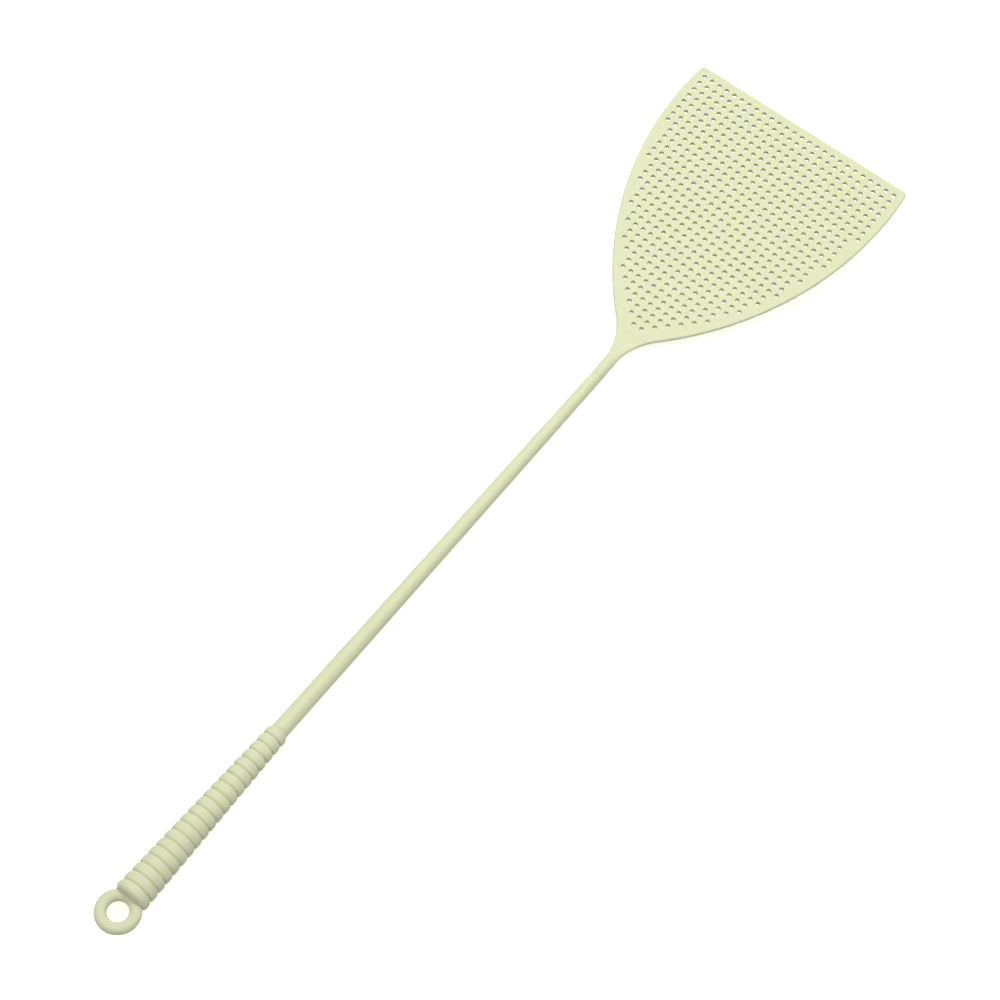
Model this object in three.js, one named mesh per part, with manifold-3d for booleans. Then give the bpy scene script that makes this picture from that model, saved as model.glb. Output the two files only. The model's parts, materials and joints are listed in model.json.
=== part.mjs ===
// Fly swatter: a perforated paddle on a tapered shaft, with a ribbed grip and a hanging eyelet.
// Millimetres, +Z up. +Y runs from the grip to the paddle and +X across the paddle.
// The swatter is drawn with its bend, where the shaft's axis meets the paddle's plane, at 0, 0, 0.
import * as THREE from 'three';
import { mergeGeometries, mergeVertices } from 'three/addons/utils/BufferGeometryUtils.js';
import Module from 'manifold-3d';

const wasm = await Module();
wasm.setup();

// Gap between pieces that touch.
const seam = 0.3;

// Paddle: a flat plate whose sides are arcs that run into the neck through two fillets.
const headPitchDeg = 5.7;
const paddleWidth = 110;
const paddleThickness = 2;
const paddleRootY = 24.5;
const paddleTopY = 152.2;
const sideArcRadius = 156;
const sideArcCentreY = 136.7;
const cornerRadius = 2.4;
const neckFilletRadius = 29.4;
const webHalfWidth = 2.4;

// Holes: a square grid, cut off on each side by an arc inside the paddle's edge.
const holeDiameter = 2.1;
const holePitchX = 4;
const holePitchY = 3.97;
const holeColumns = 26;
const holeRows = 31;
const topHoleY = 147.6;
const fieldHalfWidth = 51.25;
const fieldArcRadius = 154;
const fieldArcCentreY = 138;

// Neck: the round shaft flattening into the plate between the two fillets.
const neckThinningEnd = 0.85;
const neckFlatteningStart = 0.35;
const neckSquareness = 8;
const neckStations = 16;
const neckSides = 24;

// Shaft: a long taper, with a thin tang inside the grip.
const shaftTipRadius = 2.65;
const shaftTipY = -2 * seam;
const shaftShoulderRadius = 3.6;
const shaftShoulderY = -206.6;
const tangRadius = 2.5;
const tangLength = 60;

// Grip: a collar and 19 ribs that widen towards the butt.
const ribCount = 19;
const ribPitch = 4.295;
const firstGrooveY = -211.4;
const firstRibRadius = 4.6;
const lastRibRadius = 7.2;
const grooveDepth = 0.75;
const ribShoulder = 0.25;
const collarRadius = 4.55;
const collarChamfer = 2.2;
const buttRounding = 1.2;
const gripBoreRadius = tangRadius + seam;

// Eyelet: a rounded ring on a spigot that plugs the grip's bore.
const ringCentreY = -299.3;
const ringOuterRadius = 8.9;
const ringHoleRadius = 4.2;
const ringThickness = 4.6;
const ringRounding = 1.5;
const spigotLength = 12;

// Facets.
const shaftSides = 20;
const ringSides = 28;
const arcSteps = 6;

function material(color, roughness) {
  return new THREE.MeshStandardMaterial({ color, roughness, metalness: 0 });
}

function solidFrom(geometry) {
  const bare = geometry.clone();
  bare.deleteAttribute('normal');
  bare.deleteAttribute('uv');
  const merged = mergeVertices(bare, 1e-4);
  const vertProperties = new Float32Array(merged.attributes.position.array);
  const triVerts = new Uint32Array(merged.index.array);
  return new wasm.Manifold(new wasm.Mesh({ numProp: 3, vertProperties, triVerts }));
}

function geometryFrom(solid) {
  const mesh = solid.getMesh();
  const geometry = new THREE.BufferGeometry();
  geometry.setAttribute('position', new THREE.BufferAttribute(mesh.vertProperties, 3));
  geometry.setIndex(new THREE.BufferAttribute(mesh.triVerts, 1));
  return geometry;
}

// A body turned about the Y axis, from [radius, y] points with y rising along the outside.
function turned(points, sides) {
  return new THREE.LatheGeometry(points.map(([r, y]) => new THREE.Vector2(r, y)), sides);
}

// An outline's arcs as straight steps, with each joint between two arcs kept as one point.
function stepped(outline) {
  const points = outline.getPoints(arcSteps);
  const isApart = (point, i) => point.distanceTo(points[(i + 1) % points.length]) > 1e-6;
  return new THREE.Shape(points.filter(isApart));
}

// A flat plate, centred on z = 0, from an outline in x and y.
function plate(shape, thickness) {
  const geometry = new THREE.ExtrudeGeometry(shape, { depth: thickness, bevelEnabled: false });
  geometry.translate(0, 0, -thickness / 2);
  return geometry;
}

// Centres of the arcs on the +X side. Each side arc touches its fillet at one point.
function sideArcs() {
  const side = { x: paddleWidth / 2 - sideArcRadius, y: sideArcCentreY, radius: sideArcRadius };
  const fillet = { x: webHalfWidth + neckFilletRadius, y: 0, radius: neckFilletRadius };
  fillet.y = side.y - Math.sqrt((side.radius + fillet.radius) ** 2 - (fillet.x - side.x) ** 2);
  const inset = side.radius - cornerRadius;
  const cornerY = paddleTopY - cornerRadius;
  const cornerX = side.x + Math.sqrt(inset ** 2 - (cornerY - side.y) ** 2);
  const corner = { x: cornerX, y: cornerY, radius: cornerRadius };
  const touch = Math.atan2(fillet.y - side.y, fillet.x - side.x);
  const tangent = Math.atan2(corner.y - side.y, corner.x - side.x);
  return { side, fillet, corner, touch, tangent };
}

// Adds an arc and its mirror image in x = 0. The mirror image is added by drawing backwards.
function arc(shape, { x, y, radius }, from, to) {
  shape.absarc(x, y, radius, from, to, to < from);
}

function mirroredArc(shape, { x, y, radius }, from, to) {
  shape.absarc(-x, y, radius, Math.PI - to, Math.PI - from, to < from);
}

function paddleOutline() {
  const { side, fillet, corner, touch, tangent } = sideArcs();
  const root = Math.PI - Math.asin((paddleRootY - fillet.y) / fillet.radius);
  const shape = new THREE.Shape();
  arc(shape, fillet, root, touch + Math.PI);
  arc(shape, side, touch, tangent);
  arc(shape, corner, tangent, Math.PI / 2);
  mirroredArc(shape, corner, tangent, Math.PI / 2);
  mirroredArc(shape, side, touch, tangent);
  mirroredArc(shape, fillet, root, touch + Math.PI);
  return stepped(shape);
}

// Square pins with the area of the round holes, one through each place in the grid.
function holePins() {
  const side = (holeDiameter / 2) * Math.sqrt(Math.PI);
  const pins = [];
  for (let row = 0; row < holeRows; row += 1) {
    const y = topHoleY - row * holePitchY;
    const rise = Math.sqrt(fieldArcRadius ** 2 - (y - fieldArcCentreY) ** 2);
    const reach = fieldHalfWidth - fieldArcRadius + rise;
    for (let column = 0; column < holeColumns; column += 1) {
      const x = (column - (holeColumns - 1) / 2) * holePitchX;
      if (Math.abs(x) <= reach) {
        pins.push(new THREE.BoxGeometry(side, side, 2 * paddleThickness).translate(x, y, 0));
      }
    }
  }
  return mergeGeometries(pins);
}

function makePaddle() {
  const blank = solidFrom(plate(paddleOutline(), paddleThickness));
  const perforated = blank.subtract(solidFrom(holePins()));
  const mesh = new THREE.Mesh(geometryFrom(perforated), material(0xe4e8c8, 0.5));
  mesh.name = 'paddle';
  return mesh;
}

// The neck's section at y, between an oval and a plate: [x, z] points once round.
function neckSection(y) {
  const { fillet } = sideArcs();
  const along = y / (paddleRootY - seam);
  const thinning = THREE.MathUtils.smoothstep(along, 0, neckThinningEnd);
  const flattening = THREE.MathUtils.smoothstep(along, neckFlatteningStart, 1);
  const rise = Math.max(y - fillet.y, 0);
  const webX = fillet.x - Math.sqrt(fillet.radius ** 2 - rise ** 2);
  const halfWidth = Math.max(shaftTipRadius, webX);
  const halfHeight = THREE.MathUtils.lerp(shaftTipRadius, paddleThickness / 2, thinning);
  const power = 2 / THREE.MathUtils.lerp(2, neckSquareness, flattening);
  const squared = (share) => Math.sign(share) * Math.abs(share) ** power;
  const section = [];
  for (let side = 0; side < neckSides; side += 1) {
    const turn = (2 * Math.PI * side) / neckSides;
    section.push([halfWidth * squared(Math.cos(turn)), halfHeight * squared(Math.sin(turn))]);
  }
  return section;
}

// A body through sections, each [x, z] points once round, set at heights along Y.
function lofted(sections, heights) {
  const sides = sections[0].length;
  const placed = sections.map((section, level) => section.map(([x, z]) => [x, heights[level], z]));
  const positions = placed.flat(2);
  const indices = [];
  for (let level = 0; level < sections.length - 1; level += 1) {
    const start = level * sides;
    for (let side = 0; side < sides; side += 1) {
      const here = start + side;
      const next = start + ((side + 1) % sides);
      indices.push(here, here + sides, next, next, here + sides, next + sides);
    }
  }
  const last = (sections.length - 1) * sides;
  for (let side = 1; side < sides - 1; side += 1) {
    indices.push(0, side, side + 1, last, last + side + 1, last + side);
  }
  const geometry = new THREE.BufferGeometry();
  geometry.setAttribute('position', new THREE.Float32BufferAttribute(positions, 3));
  geometry.setIndex(indices);
  return geometry;
}

function makeNeck() {
  const heights = [];
  for (let station = 0; station < neckStations; station += 1) {
    heights.push(((paddleRootY - seam) * station) / (neckStations - 1));
  }
  const neck = lofted(heights.map(neckSection), heights);
  const mesh = new THREE.Mesh(neck, material(0xe3e9c8, 0.5));
  mesh.name = 'flexible_neck';
  return mesh;
}

function makeShaft() {
  const shaft = turned([
    [0, shaftShoulderY - tangLength],
    [tangRadius, shaftShoulderY - tangLength],
    [tangRadius, shaftShoulderY],
    [shaftShoulderRadius, shaftShoulderY],
    [shaftTipRadius, shaftTipY],
    [0, shaftTipY],
  ], shaftSides);
  const mesh = new THREE.Mesh(shaft, material(0xe4e9c9, 0.5));
  mesh.name = 'shaft';
  return mesh;
}

// The grip's outside from butt to collar, then back down its bore.
function gripProfile() {
  const frontY = shaftShoulderY - seam;
  const shoulder = ribPitch * ribShoulder;
  const points = [];
  for (let rib = ribCount - 1; rib >= 0; rib -= 1) {
    const radius = THREE.MathUtils.mapLinear(rib, 0, ribCount - 1, firstRibRadius, lastRibRadius);
    const grooveY = firstGrooveY - rib * ribPitch;
    const backY = grooveY - ribPitch;
    if (rib === ribCount - 1) {
      points.push([radius - buttRounding, backY]);
      points.push([radius - buttRounding / 4, backY + buttRounding / 2]);
    }
    points.push([radius, backY + shoulder]);
    points.push([radius, grooveY - shoulder]);
    points.push([radius - grooveDepth, grooveY]);
  }
  points.push([collarRadius, firstGrooveY + shoulder]);
  points.push([collarRadius, frontY - collarChamfer]);
  points.push([shaftShoulderRadius, frontY]);
  points.push([gripBoreRadius, frontY]);
  points.push([gripBoreRadius, firstGrooveY - ribCount * ribPitch]);
  points.push(points[0]);
  return points;
}

function makeGrip() {
  const mesh = new THREE.Mesh(turned(gripProfile(), shaftSides), material(0xd0d8b4, 0.6));
  mesh.name = 'grip_sleeve';
  return mesh;
}

// The ring's rounded section, once round.
function ringProfile() {
  const half = ringThickness / 2;
  const soft = ringRounding * (1 - Math.SQRT1_2);
  const outside = [
    [ringOuterRadius - ringRounding, -half],
    [ringOuterRadius - soft, -half + soft],
    [ringOuterRadius, -half + ringRounding],
    [ringOuterRadius, half - ringRounding],
    [ringOuterRadius - soft, half - soft],
    [ringOuterRadius - ringRounding, half],
  ];
  const inside = [
    [ringHoleRadius + ringRounding, half],
    [ringHoleRadius + soft, half - soft],
    [ringHoleRadius, half - ringRounding],
    [ringHoleRadius, -half + ringRounding],
    [ringHoleRadius + soft, -half + soft],
    [ringHoleRadius + ringRounding, -half],
  ];
  return [...outside, ...inside, outside[0]];
}

function makeEyelet() {
  const buttY = firstGrooveY - ribCount * ribPitch;
  const ring = turned(ringProfile(), ringSides);
  ring.rotateX(Math.PI / 2);
  ring.translate(0, ringCentreY, 0);
  const behindButt = new THREE.BoxGeometry(40, 40, 40);
  behindButt.translate(0, buttY - seam - 20, 0);
  const spigot = turned([
    [0, buttY - 1],
    [tangRadius, buttY - 1],
    [tangRadius, buttY + spigotLength],
    [0, buttY + spigotLength],
  ], shaftSides);
  const hole = new THREE.CylinderGeometry(ringHoleRadius, ringHoleRadius, 40, ringSides);
  hole.rotateX(Math.PI / 2);
  hole.translate(0, ringCentreY, 0);
  const eyelet = solidFrom(ring)
    .intersect(solidFrom(behindButt))
    .add(solidFrom(spigot).subtract(solidFrom(hole)));
  const mesh = new THREE.Mesh(geometryFrom(eyelet), material(0xd7ddbb, 0.6));
  mesh.name = 'hanging_eyelet';
  return mesh;
}

// Lies on its butt rib and on the shaft's tip, centred over 0, 0, 0 with its lowest point at z = 0.
function layDown(swatter) {
  const buttRibY = firstGrooveY - (ribCount - 0.5) * ribPitch;
  const lean = Math.asin((lastRibRadius - shaftTipRadius) / (shaftTipY - buttRibY));
  swatter.rotation.x = -lean;
  const box = new THREE.Box3().setFromObject(swatter, true);
  const centre = box.getCenter(new THREE.Vector3());
  swatter.position.set(-centre.x, -centre.y, -box.min.z);
}

const head = new THREE.Group();
head.rotation.x = THREE.MathUtils.degToRad(headPitchDeg);
head.add(makePaddle(), makeNeck());

const swatter = new THREE.Group();
swatter.add(head, makeShaft(), makeGrip(), makeEyelet());
layDown(swatter);

const part = new THREE.Group();
part.add(swatter);

export default part;
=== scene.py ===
"""Looks of the fly swatter: fine meshes and moulded-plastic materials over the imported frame.

Each piece is drawn in millimetres in one of two flat drawing frames, "handle" and "head". Both have
the bend, where the shaft's axis meets the paddle's plane, at 0, 0, 0, with +Y towards the paddle.
The two frames' places come from the record's mounts.
"""
import json
import math

import bpy
import numpy as np
from mathutils import Matrix, Vector
from mathutils.geometry import delaunay_2d_cdt


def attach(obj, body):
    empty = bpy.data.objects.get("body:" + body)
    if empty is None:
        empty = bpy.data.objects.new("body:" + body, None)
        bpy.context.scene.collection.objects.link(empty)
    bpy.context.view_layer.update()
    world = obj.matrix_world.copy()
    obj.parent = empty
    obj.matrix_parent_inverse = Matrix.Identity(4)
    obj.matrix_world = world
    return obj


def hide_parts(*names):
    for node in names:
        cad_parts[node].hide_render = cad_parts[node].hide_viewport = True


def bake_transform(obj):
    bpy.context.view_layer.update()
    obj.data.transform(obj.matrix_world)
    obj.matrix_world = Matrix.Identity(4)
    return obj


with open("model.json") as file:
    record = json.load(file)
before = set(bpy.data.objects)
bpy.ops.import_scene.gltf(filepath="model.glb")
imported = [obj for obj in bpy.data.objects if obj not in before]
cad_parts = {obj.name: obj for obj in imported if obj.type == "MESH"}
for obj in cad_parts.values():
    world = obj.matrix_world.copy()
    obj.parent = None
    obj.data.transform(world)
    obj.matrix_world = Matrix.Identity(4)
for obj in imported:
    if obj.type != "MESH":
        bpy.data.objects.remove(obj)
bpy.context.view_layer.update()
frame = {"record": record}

MM = 0.001
SHARP_ANGLE = math.radians(50)

# Paddle
PADDLE_WIDTH = 110.0
PADDLE_THICKNESS = 2.0
PADDLE_ROOT_Y = 24.5
PADDLE_TOP_Y = 152.2
SIDE_ARC_RADIUS = 156.0
SIDE_ARC_CENTRE_Y = 136.7
CORNER_RADIUS = 2.4
NECK_FILLET_RADIUS = 29.4
WEB_HALF_WIDTH = 2.4
EDGE_ROUNDING = 0.9
FILLET_STEPS = 6
SIDE_STEPS = 90
CORNER_STEPS = 12
FILL_INSIDE = 1
MERGE_DISTANCE = 1e-5

# Holes
HOLE_RADIUS = 1.0
HOLE_ROUNDING = 0.15
HOLE_PITCH_X = 4.0
HOLE_PITCH_Y = 3.97
HOLE_COLUMNS = 26
HOLE_ROWS = 31
TOP_HOLE_Y = 147.6
FIELD_HALF_WIDTH = 51.25
FIELD_ARC_RADIUS = 154.0
FIELD_ARC_CENTRE_Y = 138.0
HOLE_SIDES = 24
MOUNT_ROW = 12.5

# Neck
NECK_THINNING_END = 0.85
NECK_FLATTENING_START = 0.35
NECK_SOFTNESS = 0.6
NECK_SOFTENING_RATE = 3
NECK_WALL_INSET = 0.01
NECK_STATIONS = 60
NECK_SIDES = 96
BEND_LENGTH = 6.0

# Shaft
SHAFT_TIP_RADIUS = 2.65
SHAFT_TIP_Y = -0.6
SHAFT_SHOULDER_RADIUS = 3.6
SHAFT_SHOULDER_Y = -206.9
TANG_RADIUS = 2.5
TANG_LENGTH = 60.0
SHAFT_RINGS = 40
SHAFT_SIDES = 96

# Grip
RIB_COUNT = 19
RIB_PITCH = 4.295
FIRST_GROOVE_Y = -211.4
FIRST_RIB_RADIUS = 4.6
LAST_RIB_RADIUS = 7.2
GROOVE_DEPTH = 0.8
RIB_FLATNESS = 4.2
RIB_SKEW = 1.15
RIB_SAMPLES = 21
COLLAR_RADIUS = 4.55
COLLAR_SLOPE = 2.2
COLLAR_FLATNESS = 8
COLLAR_START = 0.05
COLLAR_SAMPLES = 14
SLOPE_SAMPLES = 10
BUTT_ROUNDING = 1.8
BUTT_DIMPLE = 0.02
BUTT_ANGLES = (-90, -10)
BUTT_SAMPLES = 9
BUTT_Y = FIRST_GROOVE_Y - RIB_COUNT * RIB_PITCH
GRIP_BORE_RADIUS = 2.8
GRIP_SIDES = 128

# Eyelet
RING_CENTRE_Y = -299.3
RING_OUTER_RADIUS = 8.9
RING_HOLE_RADIUS = 4.2
RING_THICKNESS = 4.6
RING_FACE_RADIUS = 6.55
RING_SQUARENESS = 2.3
RING_SIDES = 144
RING_SECTION_SIDES = 40

# Plastic: screen colours from 0 to 255, then lengths in metres and noise scales per metre
PALE_COLOUR = (216, 220, 184)
PALE_SHADE = (212, 217, 180)
DEEPER_COLOUR = (216, 220, 186)
DEEPER_SHADE = (212, 216, 182)
SPECULAR_LEVEL = 0.35
SCATTER_WEIGHT = 0.6
SCATTER_RADIUS = (1.0, 0.95, 0.25)
SCATTER_SCALE = 0.0012
CLOUD_SCALE = 45
CLOUD_DETAIL = 3
CLOUD_LOW = 0.3
CLOUD_HIGH = 0.7
ROUGHNESS_SPREAD = 0.05
FLOW_STRETCH = (1.0, 0.25, 1.0)
FLOW_SCALE = 260
FLOW_STRENGTH = 0.12
FLOW_DEPTH = 0.0004
GRAIN_SCALE = 3200
GRAIN_DEPTH = 0.0001
BUMP_DETAIL = 2

# Camera
CAMERA_AIM = (0.003365, 0.006937, 0.0)
CAMERA_AZIMUTH = 31.386
CAMERA_ELEVATION = 61.546
CAMERA_ROLL = 6.645
CAMERA_DISTANCE = 1.01418
CAMERA_LENS = 89.952
SENSOR_WIDTH = 36
CLIP_START = 0.05

# Light
DOME_LEFT = 0.82
DOME_RIGHT = 0.69
GROUND_GLOW = 0.25
HORIZON_LOW = -0.1
HORIZON_HIGH = 0.25
FLOOR_SIZE = 4.0
FLOOR_COLOUR = (0.93, 0.93, 0.93)
FLOOR_ROUGHNESS = 0.9
# The floor glows evenly so it stays white beside the pieces. The glow's yellow tint is painted light,
# standing for light that passes through the pale plastic onto the floor under the paddle.
FLOOR_GLOW = (0.62, 0.62, 0.56)
SOFTBOX_PLACE = (-0.06, 0.14, 0.75)
SOFTBOX_SIZE = 0.16
SOFTBOX_POWER = 2.5

mounts = {mount["name"]: mount for mount in frame["record"]["mounts"]}


def drawing_frame(mount_name, drawn_point):
    """The matrix from a drawing frame to the row frame, from a mount and its place in the drawing."""
    mount = mounts[mount_name]
    up = Vector(mount["axis"]).normalized()
    across = Vector((1, 0, 0))
    turn = Matrix((across, up.cross(across), up)).transposed()
    origin = Vector(mount["pos_m"]) - turn @ Vector(drawn_point) * MM
    return Matrix.Translation(origin) @ turn.to_4x4() @ Matrix.Scale(MM, 4)


HANDLE_FRAME = drawing_frame("eyelet_face", (0, RING_CENTRE_Y - RING_FACE_RADIUS, RING_THICKNESS / 2))
MOUNT_Y = TOP_HOLE_Y - MOUNT_ROW * HOLE_PITCH_Y
HEAD_FRAME = drawing_frame("paddle_face", (0, MOUNT_Y, PADDLE_THICKNESS / 2))


def new_piece(name, points, faces, place):
    """A smooth-shaded mesh object from points drawn in millimetres."""
    mesh = bpy.data.meshes.new(name)
    mesh.from_pydata([place @ Vector(point) for point in points], [], faces)
    mesh.validate()
    mesh.polygons.foreach_set("use_smooth", [True] * len(mesh.polygons))
    mesh.set_sharp_from_angle(angle=SHARP_ANGLE)
    piece = bpy.data.objects.new(name, mesh)
    bpy.context.scene.collection.objects.link(piece)
    return piece


def set_normals(piece, place, normals, flat_faces):
    """Gives each corner its point's drawn normal, and each corner of a flat face the face's own."""
    mesh = piece.data
    turn = place.to_3x3().normalized()
    vertex_normals = [(turn @ Vector(normal)).normalized() for normal in normals]
    corner_normals = [None] * len(mesh.loops)
    for polygon in mesh.polygons:
        for corner in polygon.loop_indices:
            if polygon.index in flat_faces:
                corner_normals[corner] = polygon.normal.copy()
            else:
                corner_normals[corner] = vertex_normals[mesh.loops[corner].vertex_index]
    mesh.normals_split_custom_set(corner_normals)


# Paddle

def arc_points(centre, radius, start, end, steps):
    """Points and outward directions along an arc, angles in radians."""
    angles = np.linspace(start, end, steps + 1)
    outward = np.stack([np.cos(angles), np.sin(angles)], axis=1)
    return np.array(centre) + radius * outward, outward


def side_outline():
    """The paddle's +X edge from its root to the end of its top corner: points and outward normals."""
    side = np.array([PADDLE_WIDTH / 2 - SIDE_ARC_RADIUS, SIDE_ARC_CENTRE_Y])
    fillet_x = WEB_HALF_WIDTH + NECK_FILLET_RADIUS
    reach = SIDE_ARC_RADIUS + NECK_FILLET_RADIUS
    fillet = np.array([fillet_x, side[1] - math.sqrt(reach ** 2 - (fillet_x - side[0]) ** 2)])
    corner_y = PADDLE_TOP_Y - CORNER_RADIUS
    inset = SIDE_ARC_RADIUS - CORNER_RADIUS
    corner = np.array([side[0] + math.sqrt(inset ** 2 - (corner_y - side[1]) ** 2), corner_y])
    touch = math.atan2(fillet[1] - side[1], fillet[0] - side[0])
    tangent = math.atan2(corner[1] - side[1], corner[0] - side[0])
    root = math.pi - math.asin((PADDLE_ROOT_Y - fillet[1]) / NECK_FILLET_RADIUS)
    fillet_end = touch + math.pi
    fillet_points, from_centre = arc_points(fillet, NECK_FILLET_RADIUS, root, fillet_end, FILLET_STEPS)
    side_points, side_normals = arc_points(side, SIDE_ARC_RADIUS, touch, tangent, SIDE_STEPS)
    corner_arc = arc_points(corner, CORNER_RADIUS, tangent, math.pi / 2, CORNER_STEPS)
    corner_points, corner_normals = corner_arc
    points = np.concatenate([fillet_points, side_points[1:], corner_points[1:]])
    normals = np.concatenate([-from_centre, side_normals[1:], corner_normals[1:]])
    return points, normals


def fillet_half_width(y):
    """Half the width of the web at y, where the two fillets bound it."""
    side_x = PADDLE_WIDTH / 2 - SIDE_ARC_RADIUS
    centre_x = WEB_HALF_WIDTH + NECK_FILLET_RADIUS
    reach = SIDE_ARC_RADIUS + NECK_FILLET_RADIUS
    centre_y = SIDE_ARC_CENTRE_Y - math.sqrt(reach ** 2 - (centre_x - side_x) ** 2)
    rise = max(y - centre_y, 0.0)
    return centre_x - math.sqrt(NECK_FILLET_RADIUS ** 2 - rise ** 2)


def edge_profile():
    """Inset from the plate's edge, height, and the normal's outward and upward shares, top to bottom."""
    angles = np.radians([90, 67.5, 45, 22.5, 0])
    inset = EDGE_ROUNDING * (1 - np.cos(angles))
    height = PADDLE_THICKNESS / 2 - EDGE_ROUNDING * (1 - np.sin(angles))
    top = np.stack([inset, height, np.cos(angles), np.sin(angles)], axis=1)
    bottom = top[::-1] * np.array([1, -1, 1, -1])
    return np.concatenate([top, bottom])


def hole_profile():
    """Radius, height, and the normal's inward and upward shares, from the top face to the bottom one."""
    angles = np.radians([90, 60, 30, 0])
    radius = HOLE_RADIUS + HOLE_ROUNDING * (1 - np.cos(angles))
    height = PADDLE_THICKNESS / 2 - HOLE_ROUNDING * (1 - np.sin(angles))
    top = np.stack([radius, height, np.cos(angles), np.sin(angles)], axis=1)
    bottom = top[::-1] * np.array([1, -1, 1, -1])
    return np.concatenate([top, bottom])


def hole_centres():
    """The grid's points inside the arcs that bound it on each side."""
    centres = []
    for row in range(HOLE_ROWS):
        y = TOP_HOLE_Y - row * HOLE_PITCH_Y
        rise = math.sqrt(FIELD_ARC_RADIUS ** 2 - (y - FIELD_ARC_CENTRE_Y) ** 2)
        reach = FIELD_HALF_WIDTH - FIELD_ARC_RADIUS + rise
        for column in range(HOLE_COLUMNS):
            x = (column - (HOLE_COLUMNS - 1) / 2) * HOLE_PITCH_X
            if abs(x) <= reach:
                centres.append((x, y))
    return centres


def edge_rings():
    """The rounded edge as rings of points, each from the root round the paddle and back to the root."""
    half_points, half_normals = side_outline()
    mirror = np.array([-1, 1])
    points = np.concatenate([half_points, half_points[::-1] * mirror])
    outward = np.concatenate([half_normals, half_normals[::-1] * mirror])
    rings = []
    for inset, height, out_share, up_share in edge_profile():
        ring = points - inset * outward
        for end in (0, -1):
            ring[end] = points[end] - [inset / outward[end][0], 0]
        normals = np.column_stack([outward * out_share, np.full(len(ring), up_share)])
        rings.append((np.column_stack([ring, np.full(len(ring), height)]), normals))
    return rings


def hole_rings(centre):
    """One hole's wall as rings of points and normals, from the top face to the bottom one."""
    turn = np.linspace(0, 2 * math.pi, HOLE_SIDES, endpoint=False)
    outward = np.stack([np.cos(turn), np.sin(turn)], axis=1)
    rings = []
    for radius, height, in_share, up_share in hole_profile():
        ring = np.array(centre) + radius * outward
        normals = np.column_stack([-outward * in_share, np.full(HOLE_SIDES, up_share)])
        rings.append((np.column_stack([ring, np.full(HOLE_SIDES, height)]), normals))
    return rings


def strip(first, second, count, closed):
    """Quads between two rings of points that start at two indices."""
    steps = count if closed else count - 1
    following = [(step + 1) % count for step in range(steps)]
    return [(first + step, second + step, second + after, first + after)
            for step, after in zip(range(steps), following)]


def flat_face(points, outline, holes):
    """Triangles that fill the outline between the holes. Each hole is a range of point indices."""
    edges = list(zip(outline, outline[1:] + outline[:1]))
    owner = {}
    for number, hole in enumerate(holes):
        indices = list(hole)
        edges += list(zip(indices, indices[1:] + indices[:1]))
        owner.update({index: number for index in indices})
    used = outline + [index for hole in holes for index in hole]
    place_of = {index: place for place, index in enumerate(used)}
    flat_points = [Vector(points[index][:2]) for index in used]
    flat_edges = [(place_of[a], place_of[b]) for a, b in edges]
    triangles = delaunay_2d_cdt(flat_points, flat_edges, [], FILL_INSIDE, MERGE_DISTANCE)[2]
    kept = []
    for triangle in triangles:
        corners = [used[place] for place in triangle]
        owners = {owner.get(corner) for corner in corners}
        if len(owners) > 1 or None in owners:
            kept.append(corners)
    return kept


def add_rings(points, normals, rings):
    """Adds each ring's points and normals to the lists."""
    for ring, ring_normals in rings:
        points += ring.tolist()
        normals += ring_normals.tolist()


def add_holes(points, normals, faces):
    """Adds each hole's wall. Gives the point ranges of the holes' top rings and of their bottom ones."""
    hole_tops, hole_bottoms = [], []
    for centre in hole_centres():
        start = len(points)
        rings = hole_rings(centre)
        add_rings(points, normals, rings)
        for level in range(len(rings) - 1):
            upper = start + level * HOLE_SIDES
            faces += strip(upper + HOLE_SIDES, upper, HOLE_SIDES, closed=True)
        hole_tops.append(range(start, start + HOLE_SIDES))
        hole_bottoms.append(range(len(points) - HOLE_SIDES, len(points)))
    return hole_tops, hole_bottoms


def make_paddle():
    points, normals, faces = [], [], []
    rings = edge_rings()
    around = len(rings[0][0])
    add_rings(points, normals, rings)
    for level in range(len(rings) - 1):
        faces += strip(level * around, (level + 1) * around, around, closed=False)
    hole_tops, hole_bottoms = add_holes(points, normals, faces)
    top = flat_face(points, list(range(around)), hole_tops)
    last = (len(rings) - 1) * around
    bottom = flat_face(points, list(range(last, last + around)), hole_bottoms)
    right_end = [level * around for level in range(len(rings))]
    left_end = [level * around + around - 1 for level in range(len(rings))]
    first_flat = len(faces)
    faces += top
    faces += [face[::-1] for face in bottom]
    faces.append(right_end + left_end[::-1])
    piece = new_piece("paddle_fine", points, faces, HEAD_FRAME)
    set_normals(piece, HEAD_FRAME, normals, set(range(first_flat, len(faces))))
    return piece


# Neck

def ease(value):
    """0 below 0 and 1 above 1, with a soft start and end."""
    value = min(max(value, 0.0), 1.0)
    return value * value * (3 - 2 * value)


def rounded_max(first, second, softness):
    """The larger of two lengths, with a soft change over from one to the other."""
    if softness <= 0:
        return max(first, second)
    overlap = max(softness - abs(first - second), 0)
    return max(first, second) + overlap ** 2 / (4 * softness)


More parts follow.
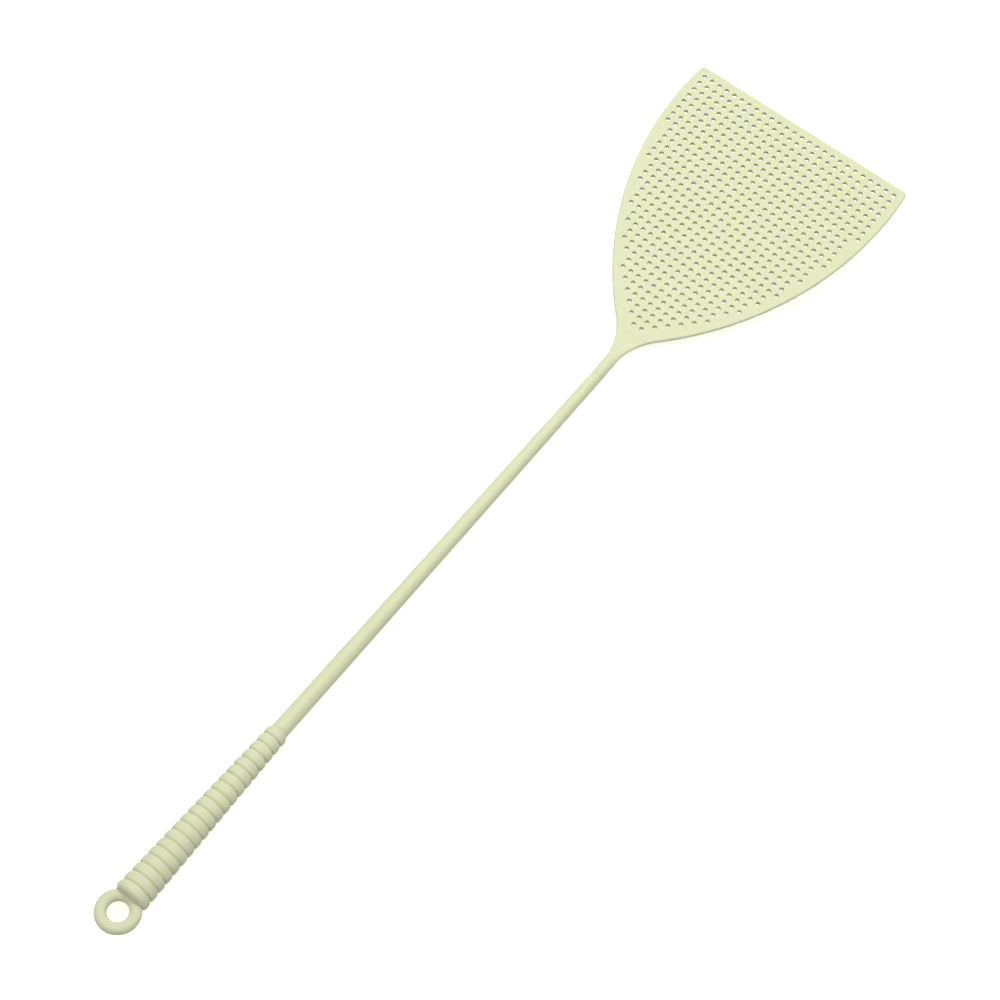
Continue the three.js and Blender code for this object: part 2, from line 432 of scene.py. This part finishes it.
def neck_section(y):
    """The section at y as (x, z) pairs: round by the shaft, the plate's shape by the paddle."""
    along = (y - SHAFT_TIP_Y) / (PADDLE_ROOT_Y - SHAFT_TIP_Y)
    thinning = ease(along / NECK_THINNING_END)
    half_height = SHAFT_TIP_RADIUS + (PADDLE_THICKNESS / 2 - SHAFT_TIP_RADIUS) * thinning
    softness = NECK_SOFTNESS * ease(along * NECK_SOFTENING_RATE)
    half_width = rounded_max(SHAFT_TIP_RADIUS, fillet_half_width(y), softness)
    flatness = ease((along - NECK_FLATTENING_START) / (1 - NECK_FLATTENING_START))
    section = []
    for side in range(NECK_SIDES):
        turn = 2 * math.pi * side / NECK_SIDES
        x = -half_width * math.cos(turn)
        oval = half_height * abs(math.sin(turn))
        inset = min(half_width - abs(x), EDGE_ROUNDING)
        wall = (PADDLE_THICKNESS / 2 - EDGE_ROUNDING) * min(inset / NECK_WALL_INSET, 1)
        plate = wall + math.sqrt(max(EDGE_ROUNDING ** 2 - (EDGE_ROUNDING - inset) ** 2, 0))
        height = oval + (plate - oval) * flatness
        section.append((x, math.copysign(height, math.sin(turn))))
    return section


def make_neck(pitch):
    """A loft from the shaft to the paddle, bent by the pitch in radians near the shaft."""
    points, faces = [], []
    for y in np.linspace(SHAFT_TIP_Y, PADDLE_ROOT_Y, NECK_STATIONS):
        turn = Matrix.Rotation(pitch * ease((y - SHAFT_TIP_Y) / BEND_LENGTH), 3, "X")
        points += [turn @ Vector((across, y, height)) for across, height in neck_section(float(y))]
    for station in range(NECK_STATIONS - 1):
        start = station * NECK_SIDES
        faces += strip(start, start + NECK_SIDES, NECK_SIDES, closed=True)
    last = (NECK_STATIONS - 1) * NECK_SIDES
    faces.append(list(range(NECK_SIDES))[::-1])
    faces.append(list(range(last, last + NECK_SIDES)))
    return new_piece("neck_fine", points, faces, HANDLE_FRAME)


# Turned pieces

def revolve(profile, sides):
    """Points and faces of a body turned about Y, from (radius, y) pairs between two on the axis."""
    points = [(0, profile[0][1], 0)]
    faces = []
    rings = profile[1:-1]
    for radius, y in rings:
        for side in range(sides):
            angle = 2 * math.pi * side / sides
            points.append((radius * math.sin(angle), y, radius * math.cos(angle)))
    points.append((0, profile[-1][1], 0))
    for level in range(len(rings) - 1):
        faces += strip(1 + level * sides, 1 + (level + 1) * sides, sides, closed=True)
    last = 1 + (len(rings) - 1) * sides
    for side in range(sides):
        after = (side + 1) % sides
        faces.append((0, 1 + side, 1 + after))
        faces.append((len(points) - 1, last + after, last + side))
    return points, faces


def make_shaft():
    tang_end_y = SHAFT_SHOULDER_Y - TANG_LENGTH
    profile = [(0, tang_end_y), (TANG_RADIUS, tang_end_y), (TANG_RADIUS, SHAFT_SHOULDER_Y)]
    for along in np.linspace(0, 1, SHAFT_RINGS):
        radius = SHAFT_SHOULDER_RADIUS + (SHAFT_TIP_RADIUS - SHAFT_SHOULDER_RADIUS) * along
        profile.append((radius, SHAFT_SHOULDER_Y + (SHAFT_TIP_Y - SHAFT_SHOULDER_Y) * along))
    profile.append((0, SHAFT_TIP_Y))
    points, faces = revolve(profile, SHAFT_SIDES)
    return new_piece("shaft_fine", points, faces, HANDLE_FRAME)


def rib_crest(y):
    """The radius over the ribs at y."""
    along = (FIRST_GROOVE_Y - y) / (RIB_COUNT * RIB_PITCH)
    return FIRST_RIB_RADIUS + (LAST_RIB_RADIUS - FIRST_RIB_RADIUS) * along


def butt_profile():
    """The grip's end face and its rounded rim, as (radius, y) pairs from the axis outwards."""
    profile = [(0, BUTT_Y + BUTT_DIMPLE), (GRIP_BORE_RADIUS, BUTT_Y)]
    butt_radius = rib_crest(BUTT_Y)
    for angle in np.radians(np.linspace(*BUTT_ANGLES, BUTT_SAMPLES)):
        radius = butt_radius - BUTT_ROUNDING * (1 - math.cos(angle))
        profile.append((radius, BUTT_Y + BUTT_ROUNDING * (1 + math.sin(angle))))
    return profile


def rib_profile():
    """The ribs from the butt to the first groove. The butt rib keeps its full radius towards the butt."""
    profile = []
    for rib in reversed(range(RIB_COUNT)):
        groove_y = FIRST_GROOVE_Y - rib * RIB_PITCH
        for share in np.linspace(1, 0, RIB_SAMPLES):
            y = groove_y - share * RIB_PITCH
            if y < BUTT_Y + BUTT_ROUNDING:
                continue
            if rib > 0 and share == 0:
                continue
            dip = GROOVE_DEPTH * abs(2 * share ** RIB_SKEW - 1) ** RIB_FLATNESS
            if rib == RIB_COUNT - 1 and share > 0.5:
                dip = 0
            profile.append((rib_crest(y) - dip, y))
    return profile


def collar_profile():
    """The collar from the first groove to the shaft."""
    profile = []
    collar_top = SHAFT_SHOULDER_Y - COLLAR_SLOPE
    for share in np.linspace(COLLAR_START, 1, COLLAR_SAMPLES):
        y = FIRST_GROOVE_Y + share * (collar_top - FIRST_GROOVE_Y)
        profile.append((COLLAR_RADIUS - GROOVE_DEPTH * (1 - share) ** COLLAR_FLATNESS, y))
    for share in np.linspace(1 / SLOPE_SAMPLES, 1, SLOPE_SAMPLES):
        radius = COLLAR_RADIUS + (SHAFT_SHOULDER_RADIUS - COLLAR_RADIUS) * ease(share)
        profile.append((radius, collar_top + share * COLLAR_SLOPE))
    return profile


def make_grip():
    profile = butt_profile() + rib_profile() + collar_profile() + [(0, SHAFT_SHOULDER_Y)]
    points, faces = revolve(profile, GRIP_SIDES)
    return new_piece("grip_fine", points, faces, HANDLE_FRAME)


def ring_section():
    """The ring's section as (radius, height) pairs: an oval, slightly squared."""
    half_width = (RING_OUTER_RADIUS - RING_HOLE_RADIUS) / 2
    middle = (RING_OUTER_RADIUS + RING_HOLE_RADIUS) / 2
    power = 2 / RING_SQUARENESS
    section = []
    for corner in range(RING_SECTION_SIDES):
        turn = 2 * math.pi * corner / RING_SECTION_SIDES
        out = math.copysign(abs(math.cos(turn)) ** power, math.cos(turn)) * half_width
        height = math.copysign(abs(math.sin(turn)) ** power, math.sin(turn)) * RING_THICKNESS / 2
        section.append((middle + out, height))
    return section


def make_eyelet():
    points, faces = [], []
    section = ring_section()
    for side in range(RING_SIDES):
        angle = 2 * math.pi * side / RING_SIDES
        for radius, height in section:
            points.append((radius * math.cos(angle), RING_CENTRE_Y + radius * math.sin(angle), height))
    for side in range(RING_SIDES):
        first = side * RING_SECTION_SIDES
        second = ((side + 1) % RING_SIDES) * RING_SECTION_SIDES
        faces += strip(first, second, RING_SECTION_SIDES, closed=True)
    return new_piece("eyelet_fine", points, faces, HANDLE_FRAME)


# Materials

def linear(red, green, blue):
    """A colour given in screen values from 0 to 255, as the shader's linear numbers."""
    def share(value):
        value /= 255
        return value / 12.92 if value <= 0.04045 else ((value + 0.055) / 1.055) ** 2.4
    return (share(red), share(green), share(blue), 1)


def add_noise(tree, vector, scale, detail):
    noise = tree.nodes.new("ShaderNodeTexNoise")
    noise.inputs["Scale"].default_value = scale
    noise.inputs["Detail"].default_value = detail
    tree.links.new(vector, noise.inputs["Vector"])
    return noise.outputs["Fac"]


def add_map_range(tree, value, from_range, to_range):
    mapping = tree.nodes.new("ShaderNodeMapRange")
    mapping.inputs["From Min"].default_value = from_range[0]
    mapping.inputs["From Max"].default_value = from_range[1]
    mapping.inputs["To Min"].default_value = to_range[0]
    mapping.inputs["To Max"].default_value = to_range[1]
    tree.links.new(value, mapping.inputs["Value"])
    return mapping.outputs["Result"]


def add_bump(tree, height, strength, distance):
    bump = tree.nodes.new("ShaderNodeBump")
    bump.inputs["Strength"].default_value = strength
    bump.inputs["Distance"].default_value = distance
    tree.links.new(height, bump.inputs["Height"])
    return bump


def add_cloudy_colour(tree, clouds, colour, shade):
    tint = tree.nodes.new("ShaderNodeMix")
    tint.data_type = "RGBA"
    tint.inputs["A"].default_value = colour
    tint.inputs["B"].default_value = shade
    tree.links.new(clouds, tint.inputs["Factor"])
    return tint.outputs["Result"]


def add_relief(tree, coordinates, grain):
    """A normal with faint flow marks drawn out along Y, and a fine grain of the given strength."""
    stretch = tree.nodes.new("ShaderNodeMapping")
    stretch.inputs["Scale"].default_value = FLOW_STRETCH
    tree.links.new(coordinates, stretch.inputs["Vector"])
    flow = add_noise(tree, stretch.outputs["Vector"], FLOW_SCALE, BUMP_DETAIL)
    sparks = add_noise(tree, coordinates, GRAIN_SCALE, BUMP_DETAIL)
    coarse = add_bump(tree, flow, FLOW_STRENGTH, FLOW_DEPTH)
    fine = add_bump(tree, sparks, grain, GRAIN_DEPTH)
    tree.links.new(coarse.outputs["Normal"], fine.inputs["Normal"])
    return fine.outputs["Normal"]


def plastic(name, colour, shade, roughness, grain):
    """Moulded plastic: cloudy colour and gloss, a fine grain and faint flow marks."""
    material = bpy.data.materials.new(name)
    material.use_nodes = True
    tree = material.node_tree
    shader = tree.nodes["Principled BSDF"]
    shader.inputs["Specular IOR Level"].default_value = SPECULAR_LEVEL
    shader.inputs["Subsurface Weight"].default_value = SCATTER_WEIGHT
    shader.inputs["Subsurface Radius"].default_value = SCATTER_RADIUS
    shader.inputs["Subsurface Scale"].default_value = SCATTER_SCALE
    coordinates = tree.nodes.new("ShaderNodeTexCoord").outputs["Object"]
    clouds = add_noise(tree, coordinates, CLOUD_SCALE, CLOUD_DETAIL)
    tint = add_cloudy_colour(tree, clouds, linear(*colour), linear(*shade))
    tree.links.new(tint, shader.inputs["Base Color"])
    spread = (roughness - ROUGHNESS_SPREAD, roughness + ROUGHNESS_SPREAD)
    gloss = add_map_range(tree, clouds, (CLOUD_LOW, CLOUD_HIGH), spread)
    tree.links.new(gloss, shader.inputs["Roughness"])
    tree.links.new(add_relief(tree, coordinates, grain), shader.inputs["Normal"])
    return material


def plain_white(name, glow):
    """Matt white with a glow of the given colour. The floor's slightly yellow glow is painted light,
    standing for light that passes through the plastic.
    """
    material = bpy.data.materials.new(name)
    material.use_nodes = True
    shader = material.node_tree.nodes["Principled BSDF"]
    shader.inputs["Base Color"].default_value = (*FLOOR_COLOUR, 1)
    shader.inputs["Roughness"].default_value = FLOOR_ROUGHNESS
    shader.inputs["Emission Color"].default_value = (*glow, 1)
    shader.inputs["Emission Strength"].default_value = 1
    return material


# Stage, light and camera

def make_floor(size):
    """A floor that reaches size each way from the middle, and lights nothing by diffuse bounces."""
    points = [(-size, -size, 0), (size, -size, 0), (size, size, 0), (-size, size, 0)]
    mesh = bpy.data.meshes.new("floor")
    mesh.from_pydata(points, [], [(0, 1, 2, 3)])
    floor = bpy.data.objects.new("floor", mesh)
    bpy.context.scene.collection.objects.link(floor)
    floor.data.materials.append(plain_white("floor_white", FLOOR_GLOW))
    floor.visible_diffuse = False


def make_softbox():
    """A square lamp over the paddle, so that the light falls off towards the grip."""
    lamp = bpy.data.lights.new("softbox", "AREA")
    lamp.size = SOFTBOX_SIZE
    lamp.energy = SOFTBOX_POWER
    softbox = bpy.data.objects.new("softbox", lamp)
    softbox.location = SOFTBOX_PLACE
    bpy.context.scene.collection.objects.link(softbox)


def make_dome():
    """A soft white dome, brighter towards -X, and dim below the horizon."""
    world = bpy.data.worlds.new("studio")
    world.use_nodes = True
    tree = world.node_tree
    background = tree.nodes["Background"]
    background.inputs["Color"].default_value = (1, 1, 1, 1)
    place = tree.nodes.new("ShaderNodeTexCoord")
    split = tree.nodes.new("ShaderNodeSeparateXYZ")
    tree.links.new(place.outputs["Generated"], split.inputs["Vector"])
    side = add_map_range(tree, split.outputs["X"], (-1, 1), (DOME_LEFT, DOME_RIGHT))
    horizon = add_map_range(tree, split.outputs["Z"], (HORIZON_LOW, HORIZON_HIGH), (GROUND_GLOW, 1))
    strength = tree.nodes.new("ShaderNodeMath")
    strength.operation = "MULTIPLY"
    tree.links.new(side, strength.inputs[0])
    tree.links.new(horizon, strength.inputs[1])
    tree.links.new(strength.outputs["Value"], background.inputs["Strength"])
    bpy.context.scene.world = world


def make_camera():
    """A camera that looks at its aim. Azimuth 0 looks along +Y and 90 along -X."""
    azimuth = math.radians(CAMERA_AZIMUTH)
    elevation = math.radians(CAMERA_ELEVATION)
    flat = math.cos(elevation)
    back = Vector((math.sin(azimuth) * flat, -math.cos(azimuth) * flat, math.sin(elevation)))
    camera = bpy.data.objects.new("camera", bpy.data.cameras.new("camera"))
    camera.data.lens = CAMERA_LENS
    camera.data.sensor_width = SENSOR_WIDTH
    camera.data.clip_start = CLIP_START
    camera.location = Vector(CAMERA_AIM) + back * CAMERA_DISTANCE
    level = (-back).to_track_quat("-Z", "Y")
    camera.rotation_mode = "QUATERNION"
    roll = Matrix.Rotation(math.radians(CAMERA_ROLL), 3, "Z").to_quaternion()
    camera.rotation_quaternion = level @ roll
    bpy.context.scene.collection.objects.link(camera)
    bpy.context.scene.camera = camera


def finish_piece(piece, node, body, material):
    """Stands the piece in for its CAD node. A piece with no body is left without a parent."""
    piece.data.materials.append(material)
    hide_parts(node)
    if body:
        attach(piece, body)


bpy.context.scene.view_settings.view_transform = "Standard"

pale = plastic("pale_plastic", PALE_COLOUR, PALE_SHADE, roughness=0.5, grain=0.1)
deeper = plastic("grip_plastic", DEEPER_COLOUR, DEEPER_SHADE, roughness=0.6, grain=0.16)
ring = plastic("eyelet_plastic", DEEPER_COLOUR, DEEPER_SHADE, roughness=0.55, grain=0.14)

handle_turn = HANDLE_FRAME.to_3x3().normalized()
head_turn = HEAD_FRAME.to_3x3().normalized()
neck_pitch = (handle_turn.inverted() @ head_turn).to_euler().x

paddle = make_paddle()
finish_piece(paddle, "paddle", "head", pale)
shaft = make_shaft()
finish_piece(shaft, "shaft", "handle", pale)
grip = make_grip()
finish_piece(grip, "grip_sleeve", "handle", deeper)
eyelet = make_eyelet()
finish_piece(eyelet, "hanging_eyelet", "handle", ring)
neck = make_neck(neck_pitch)
finish_piece(neck, "flexible_neck", None, pale)
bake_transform(neck)

make_floor(FLOOR_SIZE)
make_softbox()
make_dome()
make_camera()
